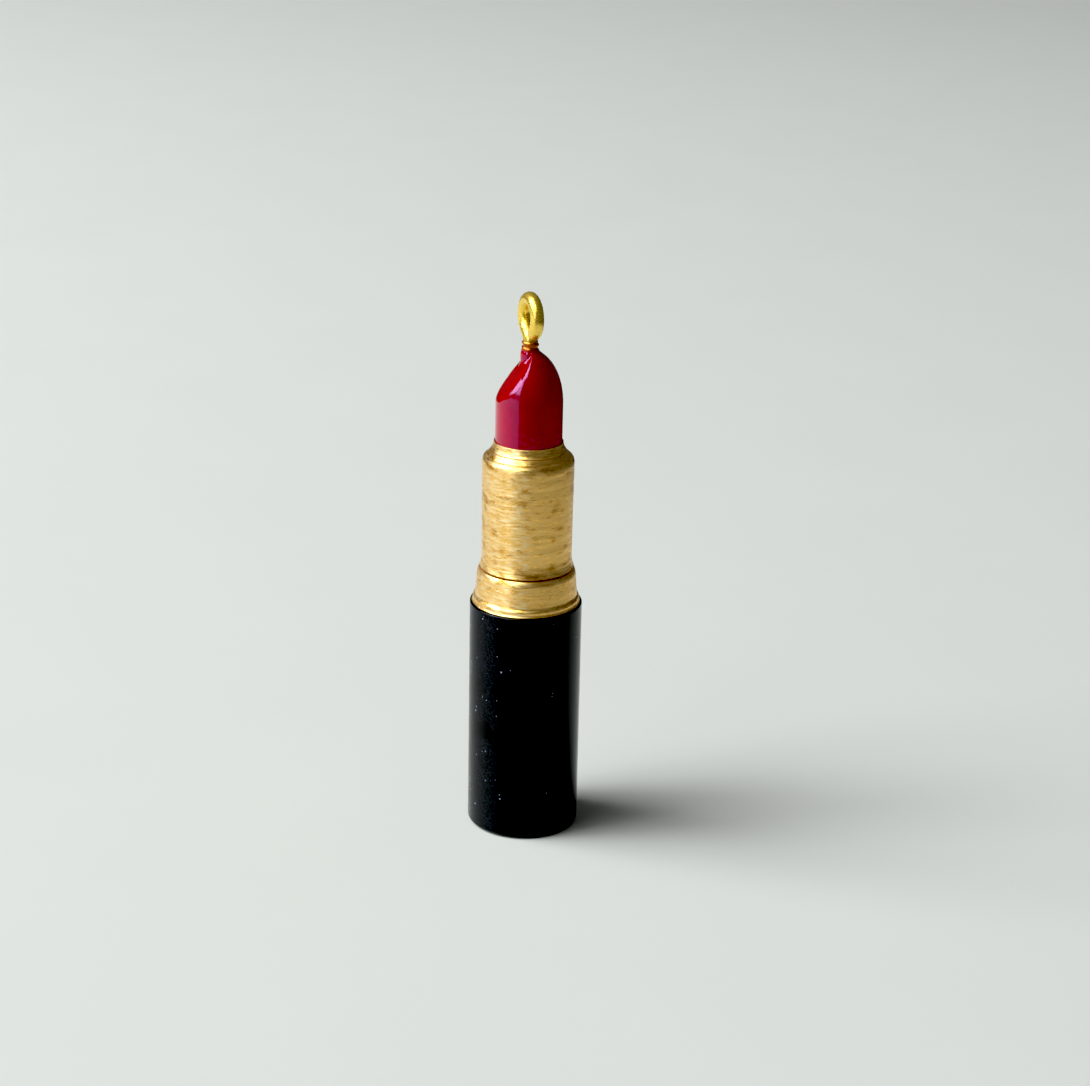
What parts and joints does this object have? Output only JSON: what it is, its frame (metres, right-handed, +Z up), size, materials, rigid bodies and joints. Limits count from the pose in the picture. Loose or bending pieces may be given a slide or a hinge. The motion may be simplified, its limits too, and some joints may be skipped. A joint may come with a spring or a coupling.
{
  "type": "lipstick_charm",
  "caption": "Miniature twist-up lipstick case with a black base, gold collar and sleeve, red bullet with a slanted flat, and a gold screw eye in its tip",
  "frame": {"origin": "centre of the base's underside", "axes": "+Z up along the case; the bullet's slanted flat faces -X; the wire eye lies 12.5 degrees off the YZ plane"},
  "size_m": [0.0102, 0.0102, 0.0505],
  "materials": {
    "black_lacquer": "gloss",
    "gold_finish": "satin",
    "red_enamel": "gloss",
    "polished_gold": "gloss",
    "brass": "satin",
    "steel": "satin",
    "black_rubber": "matte",
    "white_plastic": "matte"
  },
  "bodies": {
    "base": {"base_shell": "black_lacquer", "ballast": "steel", "base_insert": "white_plastic", "guide_tube": "brass", "base_collar": "gold_finish", "brake_ring": "black_rubber", "lower_thrust_washer": "white_plastic", "upper_thrust_washer": "white_plastic"},
    "swivel": {"sleeve": "gold_finish", "cam_tube": "brass", "mouth_ring": "gold_finish"},
    "carrier": {"carrier_cup": "brass", "lug_pin_a": "steel", "lug_pin_b": "steel", "bullet": "red_enamel", "screw_eye": "polished_gold"}
  },
  "joints": [
    {"name": "sleeve_twist", "type": "hinge", "parent": "base", "child": "swivel", "pos_m": [0, 0, 0.0252], "axis": [0, 0, 1], "range_deg": [0, 450]},
    {"name": "bullet_slide", "type": "slide", "parent": "base", "child": "carrier", "axis": [0, 0, 1], "range_m": [-0.009, 0]}
  ],
  "couplings": [
    {"joint": "sleeve_twist", "follows": "bullet_slide", "rad_per_m": -872.66}
  ]
}
